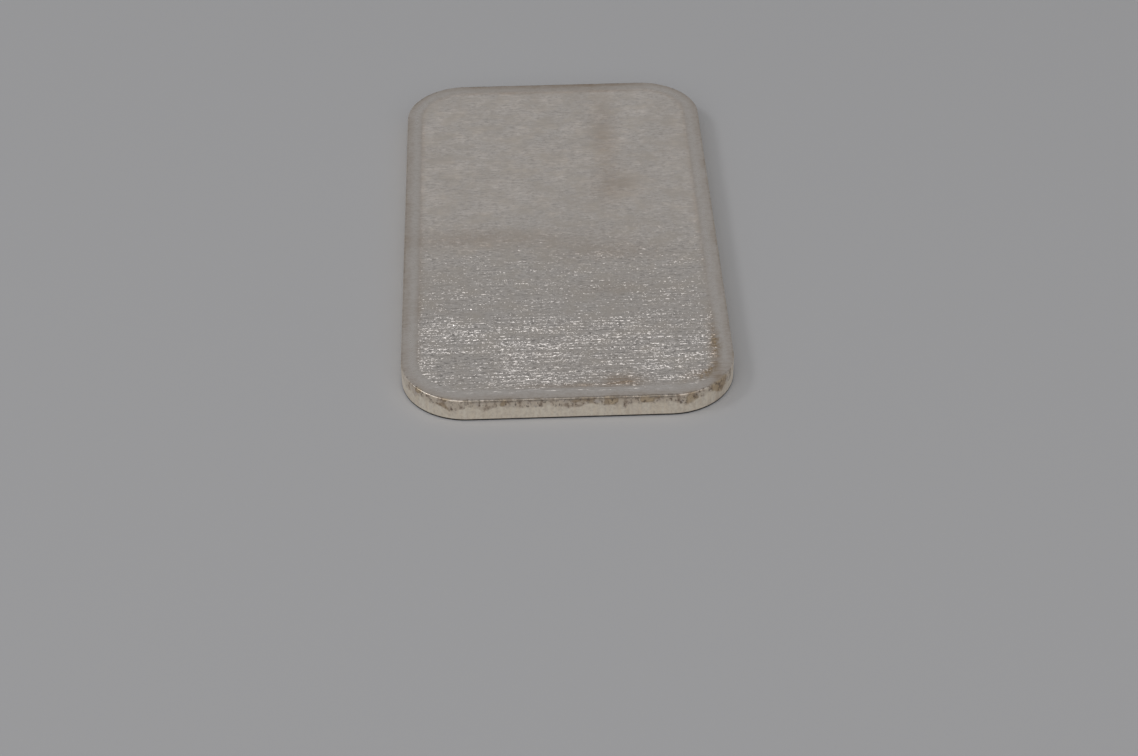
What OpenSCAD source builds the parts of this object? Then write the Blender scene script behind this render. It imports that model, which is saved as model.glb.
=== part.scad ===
// One-ounce silver bar: a flat rounded rectangle, struck and blanked in one piece.
// The top face is a brushed field inside a smooth raised rim. The rim's outer part
// rounds off to a sheared arris, the side wall is upright, and the plain underside has
// a small rolled-over edge.
// The bar lies flat: X across, Y along, Z up. The origin is the centre of the underside.

/* [Bar] */
// Length of the bar, along Y
bar_length = 50; // [30:0.5:120]
// Width of the bar, along X
bar_width = 28.5; // [20:0.5:80]
// Thickness of the bar over its rim
bar_thickness = 2.17; // [1.6:0.01:10]
// Radius of the four corners, seen from above
corner_radius = 5.7; // [3:0.1:9]

/* [Rim] */
// Width of the smooth rim, from the side wall to the edge of the field
rim_width = 1.2; // [1:0.1:2]
// Depth of the brushed field below the rim
field_recess = 0.05; // [0.02:0.01:0.3]
// Width of the sloping step from the rim down to the field
step_width = 0.25; // [0.05:0.01:0.3]
// Width of the rim's outer part, which rounds off
crown_width = 0.7; // [0.4:0.05:0.9]
// Radius of that rounding, in section
crown_radius = 4; // [2:0.1:6]

/* [Edges] */
// Radius of the sheared arris between the rim and the side wall
arris_radius = 0.1; // [0.05:0.01:0.2]
// Radius of the rolled-over edge of the underside
underside_radius = 0.12; // [0.1:0.01:0.5]

/* [Hidden] */
$fn = 96;

field_height = bar_thickness - field_recess;
straight_length = bar_length - 2 * corner_radius;
straight_width = bar_width - 2 * corner_radius;

// The section is drawn outwards from the axis of a corner: [distance from it, height].
rim_inner = corner_radius - rim_width;
rim_foot = rim_inner - step_width;
crown_centre = [corner_radius - crown_width, bar_thickness - crown_radius];
underside_centre = [corner_radius - underside_radius, underside_radius];

// The arris sits where the crown's arc reaches the side wall. Its centre is low enough
// for the arc to leave the wall smoothly, and high enough to be cut by the crown.
crown_foot = crown_centre.y + sqrt(pow(crown_radius, 2) - pow(crown_width, 2));
arris_centre = [corner_radius - arris_radius, crown_foot - arris_radius / 2];

// All that lies outwards and upwards of an arc's centre, and beyond the arc.
module beyond_arc(radius) {
    difference() {
        square(2 * radius);
        circle(r = radius);
    }
}

// Section of the bar's edge: field, step, rim, side wall and underside.
module edge_section() {
    difference() {
        polygon([
            [0, 0],
            [corner_radius, 0],
            [corner_radius, bar_thickness],
            [rim_inner, bar_thickness],
            [rim_foot, field_height],
            [0, field_height]
        ]);
        translate(crown_centre) beyond_arc(crown_radius);
        translate(arris_centre) beyond_arc(arris_radius);
        translate(underside_centre) mirror([0, 1]) beyond_arc(underside_radius);
    }
}

// A quarter turn of the section, for the corner in the +X +Y quarter.
module corner() {
    translate([straight_width / 2, straight_length / 2, 0])
        rotate_extrude(angle = 90) edge_section();
}

// The section carried straight along a side that lies this far out along +X.
module side_edge(length, reach) {
    translate([reach, length / 2, 0])
        rotate([90, 0, 0]) linear_extrude(height = length) edge_section();
}

module silver_bar() {
    color("silver") {
        translate([-straight_width / 2, -straight_length / 2, 0])
            cube([straight_width, straight_length, field_height]);
        for (turn = [0, 180]) rotate(turn) {
            side_edge(straight_length, straight_width / 2);
            rotate(90) side_edge(straight_width, straight_length / 2);
            corner();
            mirror([1, 0, 0]) corner();
        }
    }
}

silver_bar();
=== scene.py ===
"""A one-ounce silver bar lying on pale paper, under soft studio light.

The bar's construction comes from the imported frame. This script gives it its struck and
brushed surface, its sheared edge and its tarnish, and sets the paper, lights and camera.
"""

import math

import bpy
import numpy as np
from mathutils import Matrix, Vector


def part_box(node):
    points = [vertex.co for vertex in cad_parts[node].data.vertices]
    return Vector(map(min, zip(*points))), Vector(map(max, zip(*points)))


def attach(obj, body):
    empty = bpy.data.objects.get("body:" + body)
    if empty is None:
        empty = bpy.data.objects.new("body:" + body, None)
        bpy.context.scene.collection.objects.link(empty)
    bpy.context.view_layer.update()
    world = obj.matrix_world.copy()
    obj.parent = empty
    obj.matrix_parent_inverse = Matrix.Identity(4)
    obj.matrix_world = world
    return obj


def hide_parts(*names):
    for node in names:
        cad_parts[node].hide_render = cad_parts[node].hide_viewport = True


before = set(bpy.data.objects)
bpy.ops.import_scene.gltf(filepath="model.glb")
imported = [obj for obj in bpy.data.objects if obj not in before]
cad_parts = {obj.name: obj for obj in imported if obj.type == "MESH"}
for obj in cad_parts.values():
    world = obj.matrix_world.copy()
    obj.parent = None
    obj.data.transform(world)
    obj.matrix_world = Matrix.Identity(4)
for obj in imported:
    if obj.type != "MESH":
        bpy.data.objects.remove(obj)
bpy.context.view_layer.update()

# ---------------------------------------------------------------------------------------
# The silver bar
# A single blank of fine silver, sheared from rolled sheet and struck once. Its top face is
# brushed crosswise inside a smooth rim, and brown tarnish lies where fingers don't rub.
# ---------------------------------------------------------------------------------------

# One millimetre in metres. The bar's sizes are in millimetres, and the mesh is in metres.
MM = 0.001

# Sizes as the bar is made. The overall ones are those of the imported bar, whose origin is at
# the centre of its underside.
bar_low, bar_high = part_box("silver_bar")
half_width = (bar_high.x - bar_low.x) / 2 / MM
half_length = (bar_high.y - bar_low.y) / 2 / MM
rim_height = (bar_high.z - bar_low.z) / MM
corner_radius = 5.7
rim_width = 1.2
step_width = 0.25
field_recess = 0.05
crown_width = 0.7
crown_radius = 4.0
arris_radius = 0.1
underside_radius = 0.12

core_half_width = half_width - corner_radius
core_half_length = half_length - corner_radius
field_inset = rim_width + step_width
rim_foot = corner_radius - field_inset
field_height = rim_height - field_recess

# Stretches of the bar over which the brushing deepens, twice, over which it grows fainter
# again, and over which the softening left by handling gives way. Each runs from one distance
# to another from the bar's middle towards its front.
middle_deepening = (1.0, 5.0)
front_deepening = (12.8, 14.4)
front_fading = (22.3, 24.6)
softening_end = (-8, 15)

# Heights of the brushing's lines and dashes, and of the strike's slow unevenness, and the
# width of the field's margin over which they rise from its level edge.
line_height = 0.002
dash_height = 0.012
unevenness = 0.004
level_margin = 0.5

# The mean height above which the shear tore the wall, and the depths of its marks.
tear_height = 1.25
tear_depth = 0.015
pit_depth = 0.03
streak_depth = 0.003

# Spacing of the surface's rows, the numbers of its columns and of the rows round a corner,
# the height down to which the wall's rings lie close, and the shares of the way in to the
# spine at which the underside's rings lie.
row_spacing = 0.108
column_count = 122
corner_steps = 50
close_rings_end = 1.0
underside_shares = (0.15, 0.5, 1.0)


def patches(u, v, seed, repeat=None):
    """Smooth random values from -1 to 1 over a plane that is measured in cells.

    Each corner of a lattice of cells gets a random number, and a point inside a cell takes
    a blend of its four corners, eased by 3 t squared less 2 t cubed in both directions.
    The lattice comes round again after that many cells of u, where repeat is given.
    """
    i, j = np.floor(u).astype(int), np.floor(v).astype(int)
    s, t = u - i, v - j
    s, t = s * s * (3 - 2 * s), t * t * (3 - 2 * t)
    i, j = i - i.min(), j - j.min()
    after = i + 1
    if repeat:
        i, after = i % repeat, after % repeat
    corners = np.random.default_rng(seed).uniform(-1, 1, (after.max() + 2, j.max() + 2))
    near = corners[i, j] * (1 - s) + corners[after, j] * s
    far = corners[i, j + 1] * (1 - s) + corners[after, j + 1] * s
    return near * (1 - t) + far * t


def eased(value, low, high):
    """0 below low, 1 above high, and 3 t squared less 2 t cubed between them."""
    t = np.clip((value - low) / (high - low), 0, 1)
    return t * t * (3 - 2 * t)


def bell(distance, reach):
    """1 at no distance, falling as e to the minus square of the distance over its reach."""
    return np.exp(-((distance / reach) ** 2))


def edge_inset(x, y):
    """Distance of a point inwards from the bar's side wall, seen from above.

    The corner's radius, less the distance outside the core rectangle, which joins the axes
    of the four corners, or plus the distance inside it.
    """
    beyond_x = np.abs(x) - core_half_width
    beyond_y = np.abs(y) - core_half_length
    outside = np.hypot(np.maximum(beyond_x, 0), np.maximum(beyond_y, 0))
    inside = np.minimum(np.maximum(beyond_x, beyond_y), 0)
    return corner_radius - outside - inside


def brushing_depth(x, y):
    """How deep the brushing is, from 0 to 1: deepest near the front, worn down further off.

    A shallow depth all over, two steps up towards the front, each with a wavering edge, and
    one part of the way down again just before the front rim.
    """
    waver = 0.7 * patches(x / 5, y / 9, 21) + 0.35 * patches(x / 1.5, y / 3, 22)
    middle = eased(-y + waver, *middle_deepening)
    front = eased(-y + waver, *front_deepening)
    fading = eased(-y + 0.6 * waver, *front_fading)
    return 0.38 + 0.26 * middle + 0.36 * front - 0.40 * fading


def polish(x, y):
    """How far handling has softened the brushing: 0 near the front, 1 at the far end.

    One long easing down towards the front, with a wavering edge.
    """
    waver = 0.9 * patches(x / 5, y / 6, 23)
    return 1 - eased(-y + waver, *softening_end)


def field_relief(x, y):
    """Height of the brushing above the field's own level, in millimetres.

    Long shallow lines that run across the bar, short dashes set along them, and a slow
    unevenness left by the strike.
    """
    wander = 0.25 * patches(x / 9, y / 7, 11)
    lines = patches(x / 7, (y + wander) / 0.3, 12) + 0.6 * patches(x / 3, (y - wander) / 0.24, 13)
    dashes = eased(patches(x / 0.75, (y + wander) / 0.36, 14), 0.1, 0.7)
    slow = patches(x / 6, y / 5, 16)
    return brushing_depth(x, y) * (line_height * lines + dash_height * dashes) + unevenness * slow


# Places where tarnish has gathered on the top face: centre, reach and strength, the last
# of which is 1 where the silver is fully brown.
tarnish_places = [
    ((-6.5, -1.6), (8.0, 1.5), 0.30),
    ((5.0, -4.0), (5.0, 1.5), 0.25),
    ((4.8, 15.0), (1.3, 8.0), 0.25),
    ((5.2, 6.5), (2.2, 2.4), 0.28),
    ((4.0, -9.6), (2.6, 1.3), 0.20),
    ((4.6, -22.7), (1.7, 0.8), 0.70),
    ((1.5, -23.3), (4.5, 0.35), 0.45),
    ((0.0, 24.7), (14.0, 0.9), 0.40),
    ((12.6, -19.5), (0.5, 3.5), 0.60),
    ((11.2, -22.4), (1.3, 0.8), 0.45),
]


def tarnish_cover(x, y, inset):
    """Share of brown tarnish: a mottle, the places above, the rim's outer part, its foot.

    Each place adds its strength times a bell curve in both directions. The foot of the rim
    adds a bell curve across it, except along the front.
    """
    cover = 0.04 + 0.04 * patches(x / 4, y / 4, 31)
    for (centre_x, centre_y), (reach_x, reach_y), strength in tarnish_places:
        cover = cover + strength * bell(x - centre_x, reach_x) * bell(y - centre_y, reach_y)
    outer_rim = 1 - eased(inset, 0.3, 0.9)
    cover = cover + 0.24 * outer_rim * (1 + 0.5 * patches(x / 2, y / 2, 32))
    foot = bell(inset - field_inset, 0.25) * eased(y, -22, -18)
    cover = cover + foot * (0.22 + 0.12 * patches(x / 2, y / 3, 33))
    return np.clip(cover, 0, 1)


def grime_cover(x, y, z, inset):
    """Share of grime, caught at the foot of the rim by the front right corner.

    A bell curve across the foot, times an easing in towards that corner, times patches.
    """
    foot = bell(inset - field_inset, 0.45) * (z > rim_height / 2)
    near_corner = eased(x, 8, 12) * eased(-y, 12, 18)
    return np.clip(foot * near_corner * (0.7 + 0.6 * patches(x / 1.5, y / 2, 51)), 0, 1)


def row_places():
    """Distances along the bar of the field's rows.

    Evenly spaced over the straight sides, and at equal angles round each corner's arc.
    """
    straight_rows = round(2 * core_half_length / row_spacing)
    straight = np.linspace(-core_half_length, core_half_length, straight_rows + 1)
    angles = np.linspace(0, np.pi / 2, corner_steps + 1)[1:]
    arc = core_half_length + rim_foot * np.sin(angles)
    return np.concatenate([-arc[::-1], straight, arc])


def field_surface():
    """The brushed field, as a grid of rows along the bar by columns across it.

    A column keeps its share of the row's half width, which follows the corner's arc where
    the row crosses a corner. The relief is eased in over the field's level margin.
    """
    y = row_places()
    over_corner = np.maximum(np.abs(y) - core_half_length, 0)
    reach = np.sqrt(np.maximum(rim_foot**2 - over_corner**2, 0))
    across = np.linspace(-1, 1, column_count + 1)
    x = (core_half_width + reach)[:, None] * across[None, :]
    y = np.broadcast_to(y[:, None], x.shape)
    rise = eased(edge_inset(x, y), field_inset, field_inset + level_margin)
    return np.stack([x, y, field_height + rise * field_relief(x, y)], axis=-1)


def around(grid):
    """The outermost points of a grid of rows by columns, once round, anticlockwise."""
    return np.concatenate([grid[0, :-1], grid[:-1, -1], grid[-1, :0:-1], grid[:0:-1, 0]])


def edge_profile():
    """The section from the field's border outwards, down and under: distance and height.

    A straight sloping step up to the level rim, the crown's arc, the arris, the wall and
    the underside's small arc. Distances are measured outwards from the axis of a corner.
    The arris's arc lies inside the crown's and touches it and the wall.
    """
    t = np.linspace(0, 1, 4)[1:]
    step = [rim_foot + step_width * t, field_height + field_recess * t]

    crown_axis = corner_radius - crown_width
    level_r = np.linspace(rim_foot + step_width, crown_axis, 4)[1:]
    level = [level_r, np.full(level_r.shape, rim_height)]

    crown_centre = rim_height - crown_radius
    arris_axis = corner_radius - arris_radius
    arris_rise = np.sqrt((crown_radius - arris_radius) ** 2 - (crown_width - arris_radius) ** 2)
    arris_centre = crown_centre + arris_rise
    fall = np.arctan2(crown_width - arris_radius, arris_rise)
    turn = np.linspace(0, fall, 6)[1:]
    crown = [
        crown_axis + crown_radius * np.sin(turn),
        crown_centre + crown_radius * np.cos(turn),
    ]
    turn = np.linspace(fall, np.pi / 2, 6)[1:]
    arris = [
        arris_axis + arris_radius * np.sin(turn),
        arris_centre + arris_radius * np.cos(turn),
    ]

    upper_z = np.linspace(arris_centre, close_rings_end, 10)[1:]
    lower_z = np.linspace(close_rings_end, underside_radius, 5)[1:]
    wall_z = np.concatenate([upper_z, lower_z])
    wall = [np.full(wall_z.shape, corner_radius), wall_z]

    turn = np.linspace(0, np.pi / 2, 5)[1:]
    rolled = [
        corner_radius - underside_radius * (1 - np.cos(turn)),
        underside_radius * (1 - np.sin(turn)),
    ]
    return np.concatenate([step, level, crown, arris, wall, rolled], axis=1)


def along_straight(outward):
    """1 where the wall runs straight, and 0 round a corner, eased between the two."""
    return 1 - eased(np.min(np.abs(outward), axis=1), 0.0, 0.12)[None, :]


def shear_marks(outline, outward, level, wall):
    """Depth of the shear's marks in the wall, in millimetres, and the share that it tore.

    Above a wavering line the metal tore, less so along the sides. It is rough in patches,
    with pits where other patches are high, except under the arris round a corner. Below the
    line the blade left only faint upright streaks.
    """
    steps = np.linalg.norm(np.roll(outline, -1, axis=0) - outline, axis=1)
    run = np.concatenate([[0], np.cumsum(steps)[:-1]])
    whole = steps.sum()

    def marks(cell_along, cell_up, seed):
        """Patches in cells of these sizes, with a whole number of cells once round."""
        count = round(whole / cell_along)
        cells_along = np.broadcast_to(run * count / whole, level.shape)
        return patches(cells_along, level / cell_up, seed, count)

    tear_line = tear_height + 0.25 * marks(1.3, 100, 41) + 0.15 * marks(0.4, 100, 47)
    torn = wall * eased(level, tear_line - 0.12, tear_line + 0.12)
    torn = torn * (0.35 + 0.65 * eased(np.abs(outward[:, 1]), 0.2, 0.7))[None, :]
    rough = 0.5 + 0.5 * marks(0.3, 0.22, 42)
    pits = eased(marks(0.42, 0.34, 43) + 0.5 * marks(0.2, 0.2, 44), 0.2, 0.9)
    streaks = marks(0.25, 4, 45) + 0.5 * marks(0.12, 3, 46)
    spared = eased(level, 1.75, 1.95) * (1 - along_straight(outward))
    depth = torn * (1 - spared) * (tear_depth * rough + pit_depth * pits)
    depth = depth + wall * (1 - torn) * streak_depth * streaks
    return depth, torn


def arris_wear(distance, level, outward):
    """How worn the arris is, from 0 to 1: only where it runs straight, and most at the ends.

    Easings in towards the arris, from the rim and from the wall, and towards the two ends.
    The colour darkens there, partly as wear marks and partly as painted shade in place of a
    highlight.
    """
    at_ends = (0.3 + 0.7 * eased(np.abs(outward[:, 1]), 0.3, 0.8))[None, :]
    at_arris = eased(distance, corner_radius - 0.16, corner_radius - 0.06)[:, None]
    return along_straight(outward) * at_ends * at_arris * eased(level, 1.85, 2.0)


def edge_surface(border):
    """The rim, wall and rolled edge: the section carried round the field's border.

    Each border point is split into the nearest point of the core rectangle and a direction
    outwards from it. A point of the surface lies the section's distance along that
    direction, less the depth of the shear's marks. Returns the points, torn and worn.
    """
    core_limit = np.array([core_half_width, core_half_length])
    core = np.clip(border, -core_limit, core_limit)
    outward = border - core
    outward /= np.linalg.norm(outward, axis=1, keepdims=True)
    distance, height = edge_profile()
    level = np.broadcast_to(height[:, None], (len(height), len(border)))
    wall = eased(distance, corner_radius - 0.3, corner_radius - 0.02)[:, None]
    depth, torn = shear_marks(core + corner_radius * outward, outward, level, wall)
    worn = arris_wear(distance, level, outward)
    plan = core[None] + (distance[:, None] - depth)[..., None] * outward[None]
    return np.concatenate([plan, level[..., None]], axis=-1), torn, worn


def underside_surface(border):
    """The flat underside: the rolled edge's last ring, drawn in towards the bar's spine.

    A ring goes its share of the way to the nearest points of the spine, which is the bar's
    long axis between the centres of its corners.
    """
    spine_y = np.clip(border[:, 1], -core_half_length, core_half_length)
    spine = np.stack([np.zeros(len(border)), spine_y], axis=1)
    plan = border[None] + np.array(underside_shares)[:, None, None] * (spine - border)[None]
    return np.concatenate([plan, np.zeros(plan.shape[:2] + (1,))], axis=-1)


def grid_quads(index):
    """Quads between the neighbouring points of a grid of rows by columns, facing upwards."""
    corners = [index[:-1, :-1], index[:-1, 1:], index[1:, 1:], index[1:, :-1]]
    return np.stack(corners, axis=-1).reshape(-1, 4)


def ring_quads(first, second):
    """Quads between two closed rings of points, facing outwards for rings that go down."""
    return np.stack([first, second, np.roll(second, -1), np.roll(first, -1)], axis=1)


def smooth_mesh(name, points, faces, point_values):
    """A smooth mesh of quads, from points in millimetres and named values for each point."""
    mesh = bpy.data.meshes.new(name)
    mesh.vertices.add(len(points))
    mesh.vertices.foreach_set("co", (points * MM).astype(np.float32).ravel())
    mesh.loops.add(faces.size)
    mesh.loops.foreach_set("vertex_index", faces.astype(np.int32).ravel())
    mesh.polygons.add(len(faces))
    mesh.polygons.foreach_set("loop_start", np.arange(0, faces.size, 4, dtype=np.int32))
    mesh.polygons.foreach_set("use_smooth", np.ones(len(faces), bool))
    mesh.update(calc_edges=True)
    for value_name, values in point_values.items():
        attribute = mesh.attributes.new(value_name, "FLOAT", "POINT")
        attribute.data.foreach_set("value", values.astype(np.float32))
    mesh.validate()
    return mesh


def build_bar():
    """The bar's mesh: the field's grid, the rings of its edge, and those of the underside.

    The first ring of the edge joins the field's border, and each later ring the one before.
    """
    field = field_surface()
    rows, columns = field.shape[:2]
    field_index = np.arange(rows * columns).reshape(rows, columns)
    border_index = around(field_index)
    border = field.reshape(-1, 3)[border_index][:, :2]
    rings, torn, worn = edge_surface(border)
    under = underside_surface(rings[-1][:, :2])
    points = np.concatenate([field.reshape(-1, 3), rings.reshape(-1, 3), under.reshape(-1, 3)])

    ring_count = len(rings) + len(under)
    ring_index = np.arange(ring_count * len(border)).reshape(ring_count, len(border))
    ring_index = ring_index + field_index.size
    faces = [grid_quads(field_index)]
    for upper, lower in zip([border_index, *ring_index[:-1]], ring_index):
        faces.append(ring_quads(upper, lower))

    x, y, z = points.T
    inset = edge_inset(x, y)
    point_values = {
        "inset": inset,
        "brushing": brushing_depth(x, y),
        "polish": polish(x, y),
        "tarnish": tarnish_cover(x, y, inset),
        "grime": grime_cover(x, y, z, inset),
        "torn": np.zeros(len(points)),
        "worn": np.zeros(len(points)),
    }
    on_rings = slice(field_index.size, field_index.size + torn.size)
    point_values["torn"][on_rings] = torn.ravel()
    point_values["worn"][on_rings] = worn.ravel()
    return smooth_mesh("struck_bar", points, np.concatenate(faces), point_values)


bar = bpy.data.objects.new("struck_bar", build_bar())
bpy.context.scene.collection.objects.link(bar)

# Colours of the silver, and of what lies on it, as linear red, green, blue and opacity. A few
# stand in for shade and for the glints' tint, as said where they are used.
top_silver = (0.92, 0.86, 0.81, 1)
wall_silver = (0.97, 0.90, 0.78, 1)
pale_wall_silver = (1.0, 0.95, 0.85, 1)
speckled_silver = (0.64, 0.57, 0.50, 1)
gap_shade_and_dirt = (0.41, 0.38, 0.36, 1)
clouded_silver = (0.83, 0.76, 0.69, 1)
bare_facet_and_glint_tint = (0.96, 0.91, 0.88, 1)
brown_tarnish = (0.52, 0.40, 0.30, 1)
torn_silver = (0.66, 0.58, 0.49, 1)
amber_stain = (0.60, 0.45, 0.25, 1)
tide_line = (0.38, 0.27, 0.15, 1)
brown_mark = (0.40, 0.31, 0.24, 1)
dark_mark = (0.19, 0.15, 0.12, 1)
worn_and_shaded_arris = (0.34, 0.30, 0.26, 1)
brown_grime = (0.43, 0.31, 0.18, 1)
crevice_shadow = (0.03, 0.025, 0.02, 1)


class Finish:
    """One value on the bar's surface, held as a node's output. Arithmetic on it adds nodes."""

    def __init__(self, tree, socket=None):
        self.tree = tree
        self.socket = socket

    def node(self, kind, settings, inputs, output=0):
        """A node of this kind: its settings first, then its sockets' values or links."""
        made = self.tree.nodes.new(kind)
        for name, value in settings.items():
            setattr(made, name, value)
        for name, value in inputs.items():
            if isinstance(value, Finish):
                self.tree.links.new(value.socket, made.inputs[name])
            else:
                made.inputs[name].default_value = value
        return None if output is None else Finish(self.tree, made.outputs[output])

    def math(self, operation, first, second):
        """Arithmetic on two numbers, either of which may be a plain one."""
        return self.node("ShaderNodeMath", {"operation": operation}, {0: first, 1: second})

    def __add__(self, other):
        return self.math("ADD", self, other)

    __radd__ = __add__

    def __sub__(self, other):
        return self.math("SUBTRACT", self, other)

    def __rsub__(self, other):
        return self.math("SUBTRACT", other, self)

    def __mul__(self, other):
        return self.math("MULTIPLY", self, other)

    __rmul__ = __mul__

    def or_higher(self, other):
        """The higher of two values."""
        return self.math("MAXIMUM", self, other)

    def clamped(self):
        """The value, held between 0 and 1."""
        return self.node("ShaderNodeClamp", {}, {"Value": self})

    def ramp(self, low, high):
        """0 below low, 1 above high, eased between them. It falls where low is above high."""
        return self.node(
            "ShaderNodeMapRange",
            {"interpolation_type": "SMOOTHSTEP", "clamp": True},
            {"Value": self, "From Min": low, "From Max": high},
        )

    def blend(self, none, full):
        """A colour that goes from none to full as this value goes from 0 to 1."""
        return self.node("ShaderNodeMix", {"data_type": "RGBA"}, {0: self, 6: none, 7: full}, 2)

    def vector(self, operation, other):
        """Vector arithmetic, which a Math node can't do."""
        return self.node("ShaderNodeVectorMath", {"operation": operation}, {0: self, 1: other})

    def scaled(self, size):
        """A vector, made this many times as long."""
        return self.node("ShaderNodeVectorMath", {"operation": "SCALE"}, {0: self, "Scale": size})

    def axis(self, letter):
        """One of the three numbers of a vector."""
        return self.node("ShaderNodeSeparateXYZ", {}, {0: self}, letter)

    def noise(self, frequency, detail=2.0, roughness=0.5):
        """Noise from 0 to 1 at this place, with a frequency for each axis."""
        inputs = {
            "Vector": self.vector("MULTIPLY", frequency),
            "Scale": 1.0,
            "Detail": detail,
            "Roughness": roughness,
        }
        return self.node("ShaderNodeTexNoise", {}, inputs)


def point_value(start, name):
    """The value of this name that the mesh holds for each of its points."""
    return start.node("ShaderNodeAttribute", {"attribute_name": name}, {}, "Fac")


def brushed_facets(place, brushing, softness):
    """Share of the brushing's facets that lean far enough to catch the light.

    Dashes in rows across the bar and dots between them, each of them noise above a level,
    which is higher where the brushing is shallow. They come in clusters, and fade where
    handling has softened the brushing.
    """
    spared = 0.13 * (1 - brushing)
    rows = place.noise((0.16, 4.6, 0), 2.0).ramp(0.38, 0.60)
    clusters = place.noise((0.35, 0.6, 0), 2.0).ramp(0.25, 0.60)
    dashes = (place.noise((3.0, 6.2, 0), 2.0) - spared).ramp(0.52, 0.62) * rows
    dots = (place.noise((6.0, 7.5, 0), 1.0) - spared).ramp(0.53, 0.68) * (0.35 + 0.65 * rows)
    return (0.55 + 0.45 * clusters) * (1 - 0.85 * softness) * dashes.or_higher(dots)


def rim_scores(place, inset):
    """Share of short fine scores across the level part of the rim, at the front end only."""
    front_rim = inset.ramp(0.55, 1.10) * (0 - place.axis("Y")).ramp(21.0, 23.0)
    return front_rim * place.noise((0.9, 8.0, 23.0), 2.0).ramp(0.52, 0.64)


def facet_lean(start, place):
    """Which way a facet leans: towards the front by a varying amount, and to either side."""
    sideways = 2.0 * (place.noise((2.2, 3.4, 3.0), 1.0) - 0.5)
    forwards = 0.05 - 1.2 * place.noise((2.6, 5.0, 7.0), 1.0)
    return start.node("ShaderNodeCombineXYZ", {}, {0: sideways, 1: forwards})


def surface_height(place, field, brushing, torn, worn, wear):
    """Height of the finest relief, in millimetres.

    Brushed lines, deepest on the field, a fine grain all over, and the roughness of the
    wall's torn part and of the worn arris.
    """
    lines = place.noise((0.3, 5.5, 0), 3.0, 0.6)
    grain = place.noise((5.0, 9.0, 7.0), 2.0, 0.6)
    relief = (0.003 + 0.009 * field * brushing) * lines + 0.002 * grain
    return relief + 0.05 * worn * wear + 0.012 * torn * wear


def untarnished_colour(place, wall, field, brushing):
    """Bare silver: speckled, with painted shade and some dirt in the brushing's gaps, and clouded
    on the field.

    Each is noise above or below a level, as a share of that colour over the one before.
    """
    streaks = place.noise((3.0, 3.0, 0.4), 2.0)
    speckle = place.noise((3.2, 5.0, 2.5), 3.0, 0.65).ramp(0.42, 0.64)
    gaps = field * brushing * place.noise((1.6, 5.2, 0), 3.0, 0.6).ramp(0.52, 0.36)
    clouds = field * place.noise((0.36, 0.48, 0), 3.0, 0.6).ramp(0.60, 0.30)
    smooth_wall = streaks.ramp(0.3, 0.7).blend(wall_silver, pale_wall_silver)
    colour = wall.blend(top_silver, smooth_wall)
    colour = (0.32 * speckle).blend(colour, speckled_silver)
    # Painted shade: the brushing's gaps are darkened to stand in for the dark reflections between
    # the glints, with some dirt in the scratches as well.
    colour = (0.85 * gaps).blend(colour, gap_shade_and_dirt)
    return clouds.blend(colour, clouded_silver)


def stained_colour(colour, place, torn):
    """This colour as it is on the torn wall: dulled, stained and marked.

    Amber stains lie where slow noise is high, with a dark tide line along their edge, and
    brown and nearly black marks where two quicker noises are.
    """
    stain = place.noise((0.45, 0.45, 0.5), 2.0)
    amber = torn * stain.ramp(0.55, 0.60)
    tide = torn * stain.ramp(0.535, 0.555) * stain.ramp(0.60, 0.57)
    brown_marks = torn * place.noise((1.8, 1.8, 1.2), 4.0, 0.65).ramp(0.48, 0.62)
    dark_marks = torn * place.noise((3.6, 3.6, 2.4), 3.0, 0.65).ramp(0.54, 0.66)
    colour = (0.35 * torn).blend(colour, torn_silver)
    colour = (0.5 * amber).blend(colour, amber_stain)
    colour = (0.5 * tide).blend(colour, tide_line)
    colour = (0.65 * brown_marks).blend(colour, brown_mark)
    return (0.75 * dark_marks).blend(colour, dark_mark)


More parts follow.
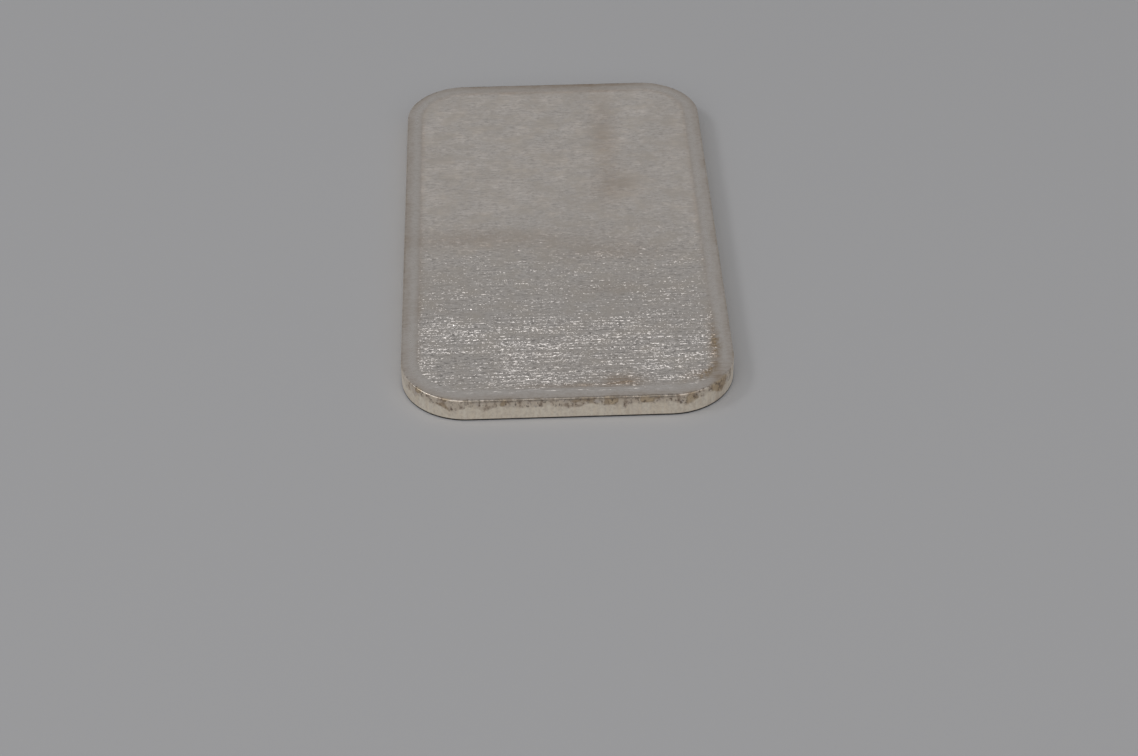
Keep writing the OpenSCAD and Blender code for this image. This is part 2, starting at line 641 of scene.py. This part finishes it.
def silver_finish():
    """Fine silver: brushed on the field, smooth on the rim, sheared and tarnished at the wall.

    The normal is the fine relief's own, plus a lean where there is a facet, plus a slow sway
    on the field. The colour is a stack of blends, from the bare silver up to the grime.
    """
    material = bpy.data.materials.new("fine_silver")
    material.use_nodes = True
    material.node_tree.nodes.clear()
    start = Finish(material.node_tree)
    place = start.node("ShaderNodeTexCoord", {}, {}, "Object").scaled(1 / MM)
    height = place.axis("Z")
    inset = point_value(start, "inset")
    brushing = point_value(start, "brushing")
    softness = point_value(start, "polish")
    torn = point_value(start, "torn")
    worn = point_value(start, "worn")
    wear = place.noise((3.5, 3.5, 5.0), 3.0, 0.6)

    # Height keeps the underside, which is as far in from the wall, out of the field.
    field = inset.ramp(rim_width + 0.05, rim_width + 0.35) * height.ramp(1.0, 1.5)
    wall = 1 - inset.ramp(0.005, 0.05)

    # The haze that handling has left on the far half, and soft blooms of light half way.
    swell = place.noise((0.38, 0.45, 11.0), 2.0, 0.45)
    ripple = place.noise((1.2, 1.7, 13.0), 2.0, 0.5)
    strokes = place.noise((1.1, 4.6, 19.0), 2.0, 0.5)
    haze = 0.35 * swell.ramp(0.38, 0.72) + 0.40 * ripple.ramp(0.42, 0.72)
    haze = haze + 0.35 * strokes.ramp(0.46, 0.70)
    blooms = place.noise((1.9, 2.6, 17.0), 1.0).ramp(0.48, 0.75) * 4 * softness * (1 - softness)

    # Where the light is caught, and how the surface leans there.
    facets = field * brushed_facets(place, brushing, softness)
    facets = facets + 0.56 * (1 - field) * rim_scores(place, inset)
    forwards = 0 - 0.02 * haze - 0.20 * blooms
    sway = start.node("ShaderNodeCombineXYZ", {}, {0: 0.08 * (ripple - 0.5), 1: forwards})
    relief = surface_height(place, field, brushing, torn, worn, wear)
    bump_inputs = {"Strength": 1.0, "Distance": MM, "Height": relief}
    bump = start.node("ShaderNodeBump", {}, bump_inputs, "Normal")
    leaning = bump.vector("ADD", facet_lean(start, place).scaled(facets))
    normal = leaning.vector("ADD", sway.scaled(field)).vector("NORMALIZE", (0, 0, 0))

    # What lies on the silver, and the dark line where the rolled edge leaves the paper.
    mottle = place.noise((1.3, 2.2, 1.6), 4.0, 0.6)
    seams = place.noise((0.5, 5.2, 0), 3.0, 0.6)
    tarnish_texture = 0.35 + 1.3 * mottle + 2.4 * brushing * (seams - 0.5)
    tarnish = (point_value(start, "tarnish") * tarnish_texture).clamped()
    tarnish = tarnish * (1 - 0.45 * wall * (1 - torn))
    grit = place.noise((2.6, 2.6, 2.6), 3.0, 0.65)
    grime = (point_value(start, "grime") * grit.ramp(0.38, 0.62)).clamped()
    crevice = height.ramp(0.20, 0.14) * inset.ramp(0.13, 0.10)

    colour = untarnished_colour(place, wall, field, brushing)
    colour = tarnish.blend(colour, brown_tarnish)
    # Painted highlight tint: the facets that catch the light get whiter silver. This is partly
    # bared metal and partly a tint for their glints.
    colour = (facets * (1 - tarnish)).blend(colour, bare_facet_and_glint_tint)
    colour = stained_colour(colour, place, torn)
    # Along the straight arris the colour darkens: wear marks, and painted shade where the lamps
    # would lay a highlight.
    colour = (worn * (0.30 + 0.6 * wear.ramp(0.35, 0.60))).blend(colour, worn_and_shaded_arris)
    colour = (0.85 * grime).blend(colour, brown_grime)
    colour = crevice.blend(colour, crevice_shadow)
    dull = field * softness * (0.14 + 0.20 * haze)
    roughness = 0.27 + dull + 0.10 * tarnish + 0.1 * grime + 0.36 * wall + 0.15 * worn

    shader = start.node(
        "ShaderNodeBsdfPrincipled",
        {},
        {"Base Color": colour, "Metallic": 1.0, "Roughness": roughness, "Normal": normal},
    )
    start.node("ShaderNodeOutputMaterial", {}, {"Surface": shader}, None)
    return material


bar.data.materials.append(silver_finish())
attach(bar, "root")
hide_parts("silver_bar")

# ---------------------------------------------------------------------------------------
# The paper
# A plain sheet of pale grey paper, rolled out far past the view. It is matt, with only a
# trace of sheen, and the bar lies on it.
# ---------------------------------------------------------------------------------------

# Half the paper's width in metres, and its colour.
paper_half_width = 1.5
paper_grey = (0.458, 0.458, 0.470, 1)


def build_paper():
    """One square, level with the bar's underside, that reaches as far along each axis."""
    mesh = bpy.data.meshes.new("paper")
    reach = paper_half_width
    corners = [(-reach, -reach, 0), (reach, -reach, 0), (reach, reach, 0), (-reach, reach, 0)]
    mesh.from_pydata(corners, [], [(0, 1, 2, 3)])
    mesh.update()
    return mesh


paper = bpy.data.objects.new("paper", build_paper())
bpy.context.scene.collection.objects.link(paper)
paper_material = bpy.data.materials.new("pale_paper")
paper_material.use_nodes = True
paper_shader = paper_material.node_tree.nodes["Principled BSDF"]
paper_shader.inputs["Base Color"].default_value = paper_grey
paper_shader.inputs["Roughness"].default_value = 0.9
paper_shader.inputs["Specular IOR Level"].default_value = 0.1
paper.data.materials.append(paper_material)

# ---------------------------------------------------------------------------------------
# The lights
# A window to the left, a pale ceiling overhead and a wide pale wall in front. Each is flat
# and far larger than the bar, so the shadows are soft, and a dim even room fills them in.
# ---------------------------------------------------------------------------------------

room_colour = (0.98, 0.99, 1.0, 1)
room_radiance = 0.306


def soft_light(name, azimuth, elevation, distance, width, depth, radiance, colour):
    """A rectangular light at this bearing from the bar, facing it.

    Angles are in degrees, with azimuth 0 behind the bar and 90 to its right, and sizes in
    metres. A flat light of radiance L and area A has the power pi L A.
    """
    lamp = bpy.data.lights.new(name, "AREA")
    lamp.shape = "RECTANGLE"
    lamp.size = width
    lamp.size_y = depth
    lamp.energy = math.pi * radiance * width * depth
    lamp.color = colour
    holder = bpy.data.objects.new(name, lamp)
    bearing = math.radians(azimuth)
    rise = math.radians(elevation)
    direction = Vector((
        math.sin(bearing) * math.cos(rise),
        math.cos(bearing) * math.cos(rise),
        math.sin(rise),
    ))
    holder.location = direction * distance
    holder.rotation_euler = direction.to_track_quat("Z", "Y").to_euler()
    bpy.context.scene.collection.objects.link(holder)


soft_light(
    "window",
    azimuth=-94,
    elevation=48,
    distance=1.0,
    width=0.30,
    depth=0.22,
    radiance=5.8,
    colour=(1.0, 1.0, 1.0),
)
soft_light(
    "ceiling",
    azimuth=180,
    elevation=88,
    distance=0.9,
    width=0.9,
    depth=0.50,
    radiance=0.65,
    colour=(1.0, 0.985, 0.97),
)
soft_light(
    "front_wall",
    azimuth=-175,
    elevation=42,
    distance=1.0,
    width=1.6,
    depth=0.9,
    radiance=0.92,
    colour=(1.0, 0.99, 0.97),
)

world = bpy.data.worlds.new("room")
bpy.context.scene.world = world
world.use_nodes = True
room = world.node_tree.nodes["Background"]
room.inputs["Color"].default_value = room_colour
room.inputs["Strength"].default_value = room_radiance

# ---------------------------------------------------------------------------------------
# The camera
# It stands about 20 cm from the bar's front end, at 38.5 degrees above the paper, and looks
# along the bar through a long lens, turned half a degree from level.
# ---------------------------------------------------------------------------------------

aim = Vector((0.1, -19.6, 0.0)) * MM
camera_azimuth = math.radians(-1.82)
camera_elevation = math.radians(38.5)
camera_roll = math.radians(0.51)
camera_distance = 203.4 * MM
focal_length = 74.85
sensor_width = 36.0

back = Vector((
    math.sin(camera_azimuth) * math.cos(camera_elevation),
    -math.cos(camera_azimuth) * math.cos(camera_elevation),
    math.sin(camera_elevation),
))
right = Vector((math.cos(camera_azimuth), math.sin(camera_azimuth), 0))
upward = back.cross(right)
turned_right = math.cos(camera_roll) * right - math.sin(camera_roll) * upward
turned_up = math.sin(camera_roll) * right + math.cos(camera_roll) * upward
turn = Matrix((turned_right, turned_up, back)).transposed().to_4x4()

lens = bpy.data.cameras.new("camera")
lens.lens = focal_length
lens.sensor_width = sensor_width
lens.clip_start = 0.01
lens.clip_end = 10.0
camera = bpy.data.objects.new("camera", lens)
camera.matrix_world = Matrix.Translation(aim + back * camera_distance) @ turn
bpy.context.scene.collection.objects.link(camera)
bpy.context.scene.camera = camera
bpy.context.scene.view_settings.view_transform = "Standard"
